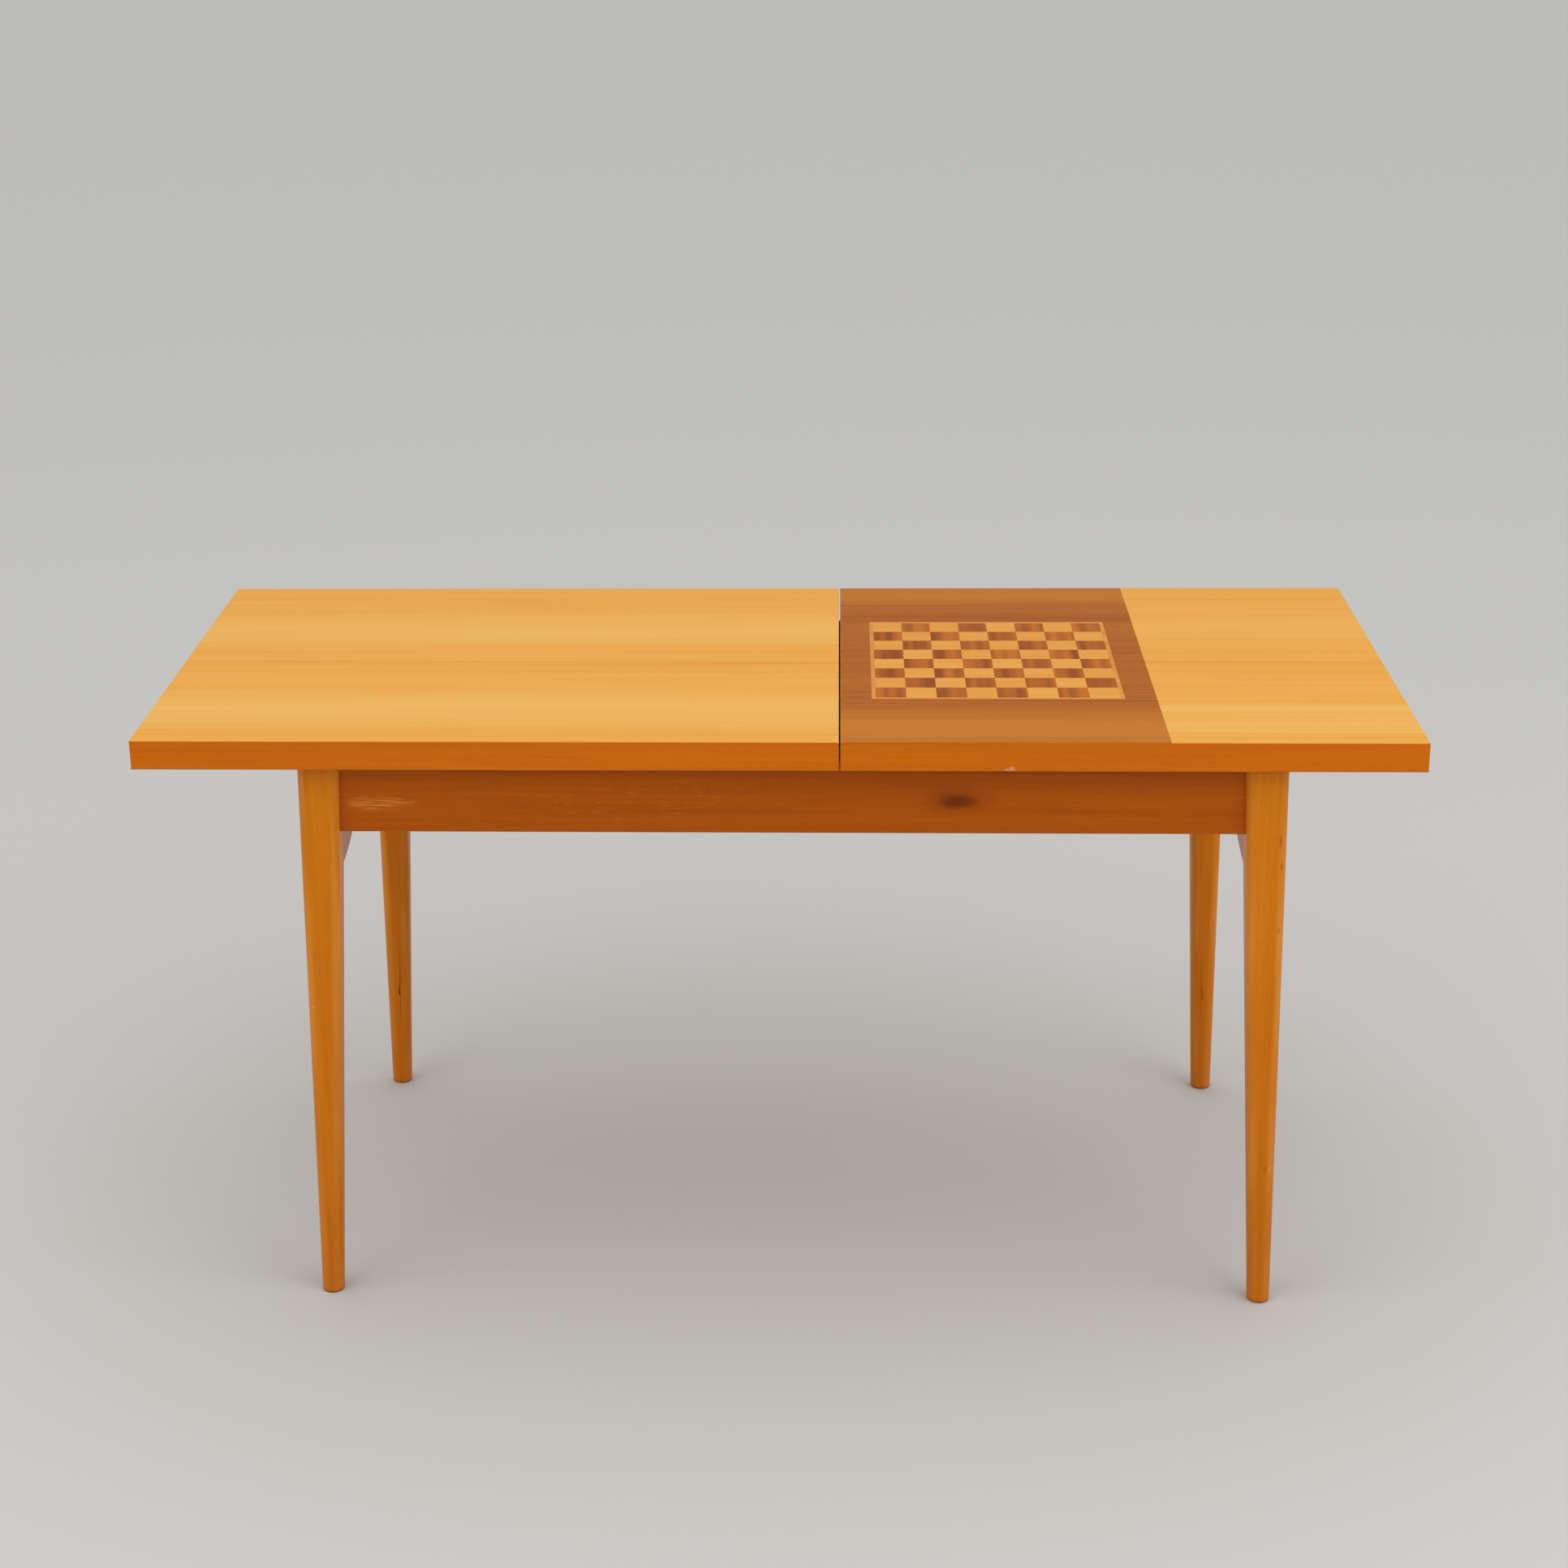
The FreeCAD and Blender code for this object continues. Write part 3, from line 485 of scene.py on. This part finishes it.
SCREW_HEAD_RADIUS, SCREW_HEAD_HEIGHT = 0.004, 0.0024
SCREW_SHANK_RADIUS = 0.002
SCREW_SLOT_WIDTH, SCREW_SLOT_DEPTH = 0.0011, 0.0011
SCREWS_PER_GUIDE = 5
GUIDE_SCREW_SEED = 3
screw_tree = make_screw_tree()
screw_finish = make_screw_finish()
low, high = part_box("guide_rail_screws")
guide_stations = evenly(low.x + SCREW_HEAD_RADIUS, high.x - SCREW_HEAD_RADIUS, SCREWS_PER_GUIDE)
guide_faces = [(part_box("front_guide_rail")[1].y, -1.0), (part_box("back_guide_rail")[0].y, 1.0)]
add_screws("guide_rail_screws",
           [((x, face, (low.z + high.z) / 2), (0.0, drive, 0.0)) for face, drive in guide_faces
            for x in guide_stations],
           length=high.y - guide_faces[1][0], seed=GUIDE_SCREW_SEED)
for guide in ("front_guide_rail", "back_guide_rail"):
    eased_copy(guide, beech_along_x, BEECH_ARRIS, runs_along(X))


# Games tray: a thin plywood bottom laid loose on two beech ledges, between two cross rails that are dowelled
# to the aprons. It holds the game pieces and shows when the leaves are drawn apart.
def plywood(name, pale, deep):
    """Rotary-cut birch veneer: broad, wandering figure along the sheet and fine pores, sealed thinly."""
    material, place = new_material(name)
    figure_place = sway(place, reach=0.05, spread=0.3)
    figure = grain_noise(figure_place, X, length=0.7, width=0.035, detail=4.0)
    fibres = grain_noise(place, X, length=0.02, width=0.0008)
    tone = blend(((figure - 0.5) * 2.4 + (fibres - 0.5) * 0.6 + 0.5).clamped(), pale, deep)
    finish_surface(place, tone, (fibres - 0.5) * 0.2 + 0.5, 0.05, fibres, relief=0.00003)
    return material


PLYWOOD_ARRIS = 0.0005
tray_finish = plywood("tray_plywood_finish", colour(232, 202, 156), colour(206, 166, 114))
eased_copy("tray_bottom", tray_finish, PLYWOOD_ARRIS, runs_along(X, Y))
for side in ("left", "right"):
    eased_copy(f"tray_cross_rail_{side}", beech_along_y, BEECH_ARRIS, runs_along(Y))
for side in ("front", "back"):
    eased_copy(f"tray_ledge_{side}", beech_along_x, BEECH_ARRIS, runs_along(X))


# Leaves: two boards of blockboard, veneered below with a plain backing and edged all round with lippings of
# stained beech, rubbed at the seam and chipped in front. Two tongued runners are screwed under each leaf.
SCREWS_PER_RUNNER = 3
RUNNER_SCREW_SEEDS = {"left": 5, "right": 8}
LIPPING_ARRIS = 0.0012
UNDER_ARRIS = 0.0007
seam_left, seam_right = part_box("left_leaf_top_veneer")[1].x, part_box("right_leaf_dark_veneer")[0].x


def beside_seam(place):
    """The last millimetre of each leaf beside the seam, where the sliding leaves rub."""
    rub_width, fade = 0.0010, 0.0005
    past_left = along(place, X) - (seam_left - rub_width)
    past_right = (seam_right + rub_width) - along(place, X)
    inside = (past_left.math("MINIMUM", past_left, past_right) * (1 / fade)).clamped()
    rub = place.node("ShaderNodeTexNoise", None, {"Vector": place, "Scale": 60.0, "Detail": 3.0})
    return inside * ((rub - 0.35) * 4.0).clamped()


def side_faces(place):
    """The edges of a sheet, not its faces."""
    normal = place.node("ShaderNodeTexCoord", output="Normal")
    return (1.2 - abs(along(normal, Z)) * 1.5).clamped()


def lies_low(level):
    """A test for edges that lie at a level."""
    slack = 1e-5
    return lambda edge: all(abs(vert.co.z - level) < slack for vert in edge.verts)


lipping_pale, lipping_deep, lipping_fleck = colour(231, 122, 6), colour(208, 104, 0), colour(162, 72, 0)
lipping_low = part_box("right_leaf_lipping_front")[0]
bare_wood = colour(236, 180, 124)
lipping_marks = [
    (beside_seam, colour(212, 136, 66), 0.5),
    (spot((0.2251, lipping_low.y, lipping_low.z + 0.0012), (0.0038, 0.003, 0.0040)), bare_wood, 0.9),
    (spot((0.2205, lipping_low.y, lipping_low.z + 0.0004), (0.0034, 0.003, 0.0026)), bare_wood, 0.7),
]
long_lipping_finish = solid_wood("long_lipping_finish", X, lipping_pale, lipping_deep, lipping_fleck,
                                 roughness=0.3, marks=lipping_marks)
end_lipping_finish = solid_wood("end_lipping_finish", Y, lipping_pale, lipping_deep, lipping_fleck,
                                roughness=0.3)
core_finish = solid_wood("core_finish", X, colour(222, 190, 146), colour(196, 160, 112),
                         colour(170, 130, 86), roughness=0.7, lacquer=0.0)
backing_finish = solid_wood("backing_finish", X, colour(196, 150, 100), colour(164, 116, 70),
                            colour(120, 80, 46), roughness=0.5, lacquer=0.05,
                            marks=[(side_faces, lipping_deep, 1.0)])
for leaf, seed in RUNNER_SCREW_SEEDS.items():
    dress(core_finish, f"{leaf}_leaf_core")
    for side in ("front", "back"):
        eased_copy(f"{leaf}_leaf_lipping_{side}", long_lipping_finish, LIPPING_ARRIS, runs_along(Z))
        eased_copy(f"{leaf}_runner_{side}", beech_along_x, BEECH_ARRIS, runs_along(X, Y, Z))
    dress(end_lipping_finish, f"{leaf}_leaf_lipping_outer", f"{leaf}_leaf_lipping_seam")
    under = f"{leaf}_leaf_under_veneer"
    eased_copy(under, backing_finish, UNDER_ARRIS, lies_low(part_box(under)[0].z))
    low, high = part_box(f"{leaf}_runner_screws")
    rows = (low.y + SCREW_HEAD_RADIUS, high.y - SCREW_HEAD_RADIUS)
    stations = evenly(low.x + SCREW_HEAD_RADIUS, high.x - SCREW_HEAD_RADIUS, SCREWS_PER_RUNNER)
    add_screws(f"{leaf}_runner_screws", [((x, y, low.z), (0.0, 0.0, 1.0)) for y in rows for x in stations],
               length=high.z - low.z, seed=seed)


# Top veneers: a pale, straight-grained veneer over the left leaf and the right leaf's outer part, and a dark
# one beside the seam. The sheets run through from leaf to leaf, so their pale bands line up. Glossy lacquer.
def band_mask(across, centre, half_width):
    """A soft band along the grain: 1 on its centre line, 0 beyond its half width."""
    offset = (across - centre) / half_width
    return (1.0 - offset * offset).clamped()


def top_veneer(name, pale, deep, streak, bands, dark_streaks, contrast, rubbed):
    """Sliced veneer under lacquer, with broad tone bands, soft streaks, fine fibres and darker lines."""
    material, place = new_material(name)
    grain = sway(place, reach=0.003, spread=0.35)
    across = along(grain, Y)
    clouds = grain_noise(grain, X, length=1.1, width=0.05, detail=2.0)
    streaks = grain_noise(grain, X, length=0.35, width=0.0045, detail=4.0)
    fibres = grain_noise(grain, X, length=0.05, width=0.0007)
    depth = (clouds - 0.5) * 0.5 + (streaks - 0.5) * contrast + (fibres - 0.5) * 0.35 + 0.75
    for centre, half_width, strength in bands:
        depth = depth - band_mask(across, centre, half_width) * strength
    tone = blend(depth.clamped(), pale, deep)
    for centre, half_width, strength in dark_streaks:
        line = band_mask(across, centre, half_width) * ((streaks - 0.3) * 2.0).clamped()
        tone = blend(line * strength, tone, streak)
    tone = blend(beside_seam(place) * 0.6, tone, rubbed)
    tone = blend(side_faces(place), tone, lipping_deep)
    finish_surface(place, tone, (streaks - 0.5) * 0.08 + 0.22, TOP_LACQUER, fibres, relief=0.00001,
                   shine=TOP_SHINE)
    return material


TOP_LACQUER, TOP_SHINE = 0.12, 0.04
PALE_BANDS = [(0.100, 0.060, 0.6), (-0.156, 0.060, 0.6)]
OUTER_PALE_BANDS = [(0.100, 0.050, 0.2), (-0.150, 0.012, 0.5), (-0.185, 0.050, 0.35)]
PALE_SHEET_STREAKS = [(-0.012, 0.009, 0.8), (0.020, 0.006, 0.4), (-0.042, 0.005, 0.4), (0.205, 0.008, 0.4),
                      (-0.226, 0.007, 0.4)]
# Paler bands near the dark sheet's front and back edges: partly the veneer's own tone, partly a painted
# reflection.
DARK_SHEET_BANDS_AND_REFLECTION = [(-0.205, 0.060, 0.8), (0.225, 0.040, 0.6)]
DARK_SHEET_STREAKS = [(0.140, 0.020, 0.5), (0.020, 0.012, 0.4), (-0.125, 0.012, 0.3)]
light_pale, light_deep, light_streak = colour(243, 187, 96), colour(238, 165, 61), colour(226, 146, 40)
light_rubbed = colour(246, 194, 118)
left_veneer_finish = top_veneer("left_veneer_finish", light_pale, light_deep, light_streak, PALE_BANDS,
                                PALE_SHEET_STREAKS, contrast=0.9, rubbed=light_rubbed)
outer_veneer_finish = top_veneer("outer_veneer_finish", light_pale, light_deep, light_streak,
                                 OUTER_PALE_BANDS, PALE_SHEET_STREAKS, contrast=1.1, rubbed=light_rubbed)
dark_veneer_finish = top_veneer("dark_veneer_finish", colour(200, 120, 30), colour(170, 88, 6),
                                colour(144, 68, 2), DARK_SHEET_BANDS_AND_REFLECTION, DARK_SHEET_STREAKS, contrast=1.1,
                                rubbed=colour(206, 138, 80))
dress(left_veneer_finish, "left_leaf_top_veneer")
dress(outer_veneer_finish, "right_leaf_light_veneer")
dress(dark_veneer_finish, "right_leaf_dark_veneer")


# Chessboard: 64 squares of veneer, pale and striped dark by turns, let into the dark veneer inside a thin
# pale border and lacquered with it. The dark squares' stripes run front to back, and no two squares match.
def make_square_tree():
    """Squares of one shade in a chessboard about the origin, each with a figure number of its own."""
    tree, wire = new_tree("chess_squares", {
        "Squares per side": "Int", "Square side": "Float", "Thickness": "Float", "Edge": "Float",
        "Shade": "Int", "Seed": "Int", "Material": "Material"})
    start = Wire(tree)
    random_seed, random_float = 8, 1
    count, side, edge = wire["Squares per side"], wire["Square side"], wire["Edge"]
    spread = (count - 1.0) * side
    board = start.node("GeometryNodeMeshGrid", None, {
        "Size X": spread, "Size Y": spread, "Vertices X": count, "Vertices Y": count})
    index = start.node("GeometryNodeInputIndex")
    columns = index / count
    column = columns.math("FLOOR", columns)
    rank = index.math("MODULO", index, count)
    shade = index.math("MODULO", column + rank, 2.0)
    wanted = shade.math("COMPARE", shade, wire["Shade"], 0.5)
    block_size = start.node("ShaderNodeCombineXYZ", None, {
        "X": side, "Y": side, "Z": wire["Thickness"] - edge})
    block = start.node("GeometryNodeMeshCube", None, {"Size": block_size})
    normal = start.node("GeometryNodeInputNormal")
    upward = normal.node("ShaderNodeSeparateXYZ", None, {"Vector": normal}, output="Z")
    raised = block.node("GeometryNodeExtrudeMesh", {"mode": "FACES"}, {
        "Mesh": block, "Selection": upward.math("GREATER_THAN", upward, 0.5), "Offset Scale": edge})
    top_face = Wire(tree, raised.socket.node.outputs["Top"])
    tile = raised.node("GeometryNodeScaleElements", {"domain": "FACE"}, {
        "Geometry": raised, "Selection": top_face, "Scale": 1.0 - edge * 2.0 / side})
    instances = board.node("GeometryNodeInstanceOnPoints", None, {
        "Points": board, "Selection": wanted, "Instance": tile})
    figure = start.node("FunctionNodeRandomValue", {"data_type": "FLOAT"}, {random_seed: wire["Seed"]},
                        output=random_float)
    marked = instances.node("GeometryNodeStoreNamedAttribute",
                            {"data_type": "FLOAT", "domain": "INSTANCE"},
                            {"Geometry": instances, "Name": "figure", "Value": figure})
    close_tree(marked, wire["Material"])
    return tree


def inlay_finish(name, axis, pale, deep, stripe_width, stripe_contrast, tone_spread):
    """Veneer of one square, cut from its own place in the sheet, which shifts its stripes and its tone."""
    material, place = new_material(name)
    figure = place.node("ShaderNodeAttribute", {"attribute_name": "figure"}, output="Fac")
    shift = place.node("ShaderNodeCombineXYZ", None, {
        "X": figure * 7.3, "Y": figure * 5.1, "Z": figure * 3.7})
    cut = place.vector_math("ADD", place, shift)
    stripes = grain_noise(cut, axis, length=0.5, width=stripe_width, detail=0.5)
    fibres = grain_noise(cut, axis, length=0.04, width=0.0008, detail=3.0)
    depth = (stripes - 0.5) * stripe_contrast + (fibres - 0.5) * 0.4 + (figure - 0.5) * tone_spread + 0.5
    tone = blend(depth.clamped(), pale, deep)
    finish_surface(place, tone, (fibres - 0.5) * 0.06 + 0.22, TOP_LACQUER, fibres, relief=0.00001,
                   shine=TOP_SHINE)
    return material


SQUARES_PER_SIDE = 8
SQUARE_EDGE = 0.00008
SQUARE_SEED = 11
square_tree = make_square_tree()
board_low, board_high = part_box("chess_dark_squares")
square_side = (board_high.x - board_low.x) / SQUARES_PER_SIDE
square_thickness = board_high.z - board_low.z
board_centre = (board_low + board_high) / 2 - Vector((0, 0, SQUARE_EDGE / 2))
dark_square_finish = inlay_finish("dark_square_finish", Y, colour(198, 110, 24), colour(150, 70, 6),
                                  stripe_width=0.010, stripe_contrast=2.5, tone_spread=0.2)
light_square_finish = inlay_finish("light_square_finish", X, colour(236, 168, 74), colour(229, 152, 58),
                                   stripe_width=0.012, stripe_contrast=1.0, tone_spread=0.6)
for shade, (node, finish) in enumerate((("chess_dark_squares", dark_square_finish),
                                        ("chess_light_squares", light_square_finish))):
    squares = grow(f"{node}_inlaid", square_tree, bpy.data.meshes.new(f"{node}_seeds"), {
        "Squares per side": SQUARES_PER_SIDE, "Square side": square_side, "Thickness": square_thickness,
        "Edge": SQUARE_EDGE, "Shade": shade, "Seed": SQUARE_SEED + shade, "Material": finish})
    squares.transform(Matrix.Translation(board_centre))
    stand_in(squares, finish, node)
border_finish = inlay_finish("border_finish", X, colour(230, 154, 70), colour(216, 134, 54),
                             stripe_width=0.012, stripe_contrast=1.6, tone_spread=0.0)
dress(border_finish, "chess_border")


# Studio: a plain pale floor in an even, pale room that brightens towards its ceiling, and a large soft lamp
# to each side of the front.
FLOOR_HALF_SIDE = 40.0
floor_mesh = bpy.data.meshes.new("floor")
floor_mesh.from_pydata([(-FLOOR_HALF_SIDE, -FLOOR_HALF_SIDE, 0), (FLOOR_HALF_SIDE, -FLOOR_HALF_SIDE, 0),
                        (FLOOR_HALF_SIDE, FLOOR_HALF_SIDE, 0), (-FLOOR_HALF_SIDE, FLOOR_HALF_SIDE, 0)],
                       [], [(0, 1, 2, 3)])
floor = bpy.data.objects.new("floor", floor_mesh)
bpy.context.scene.collection.objects.link(floor)
floor_finish, floor_place = new_material("floor_finish")
floor_shader = floor_place.node("ShaderNodeBsdfPrincipled", None, {
    "Base Color": colour(204, 203, 200), "Roughness": 0.7, "Specular IOR Level": 0.2})
floor_shader.node("ShaderNodeOutputMaterial", None, {"Surface": floor_shader})
floor_mesh.materials.append(floor_finish)
floor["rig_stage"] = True

ROOM_LOW, ROOM_HIGH = 0.22, 1.47
world = bpy.data.worlds.new("room")
world.use_nodes = True
world.node_tree.nodes.clear()
room_direction = Wire(world.node_tree).node("ShaderNodeTexCoord", output="Generated")
room_rise = along(room_direction, Z).clamped()
room_glow = room_rise * room_rise * (ROOM_HIGH - ROOM_LOW) + ROOM_LOW
room = room_glow.node("ShaderNodeBackground", None, {"Color": (1.0, 1.0, 1.0, 1.0), "Strength": room_glow})
room.node("ShaderNodeOutputWorld", None, {"Surface": room})
bpy.context.scene.world = world

LAMP_TARGET = (0.0, 0.0, 0.4)
SOFTBOXES = {
    "left_softbox": ((-2.6, -2.1, 2.1), 3.0, 2.6, 24.0),
    "right_softbox": ((2.6, -1.8, 2.1), 3.0, 2.6, 32.0),
}
for name, (place, width, height, power) in SOFTBOXES.items():
    lamp_data = bpy.data.lights.new(name, "AREA")
    lamp_data.shape = "RECTANGLE"
    lamp_data.size = width
    lamp_data.size_y = height
    lamp_data.energy = power
    lamp = bpy.data.objects.new(name, lamp_data)
    aim = Vector(place) - Vector(LAMP_TARGET)
    lamp.matrix_world = Matrix.Translation(place) @ aim.to_track_quat("Z", "Y").to_matrix().to_4x4()
    bpy.context.scene.collection.objects.link(lamp)


# Camera: standing height in front of the table, a little right of its middle, looking down on the top, with
# the frame shifted as the picture is cropped.
CAMERA_PLACE = (0.0633, -2.6479, 1.4875)
CAMERA_YAW, CAMERA_PITCH, CAMERA_ROLL = -0.0491, 0.3128, 0.0152
CAMERA_SENSOR, CAMERA_LENS = 36.0, 62.307
CAMERA_SHIFT_X, CAMERA_SHIFT_Y = 0.0454, -0.0964
camera_data = bpy.data.cameras.new("camera")
camera_data.sensor_width = CAMERA_SENSOR
camera_data.lens = CAMERA_LENS
camera_data.shift_x = CAMERA_SHIFT_X
camera_data.shift_y = CAMERA_SHIFT_Y
camera = bpy.data.objects.new("camera", camera_data)
camera.matrix_world = (Matrix.Translation(CAMERA_PLACE) @ Matrix.Rotation(-CAMERA_YAW, 4, "Z")
                       @ Matrix.Rotation(math.pi / 2 - CAMERA_PITCH, 4, "X")
                       @ Matrix.Rotation(-CAMERA_ROLL, 4, "Z"))
bpy.context.scene.collection.objects.link(camera)
bpy.context.scene.camera = camera
bpy.context.scene.view_settings.view_transform = "Standard"

low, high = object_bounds()
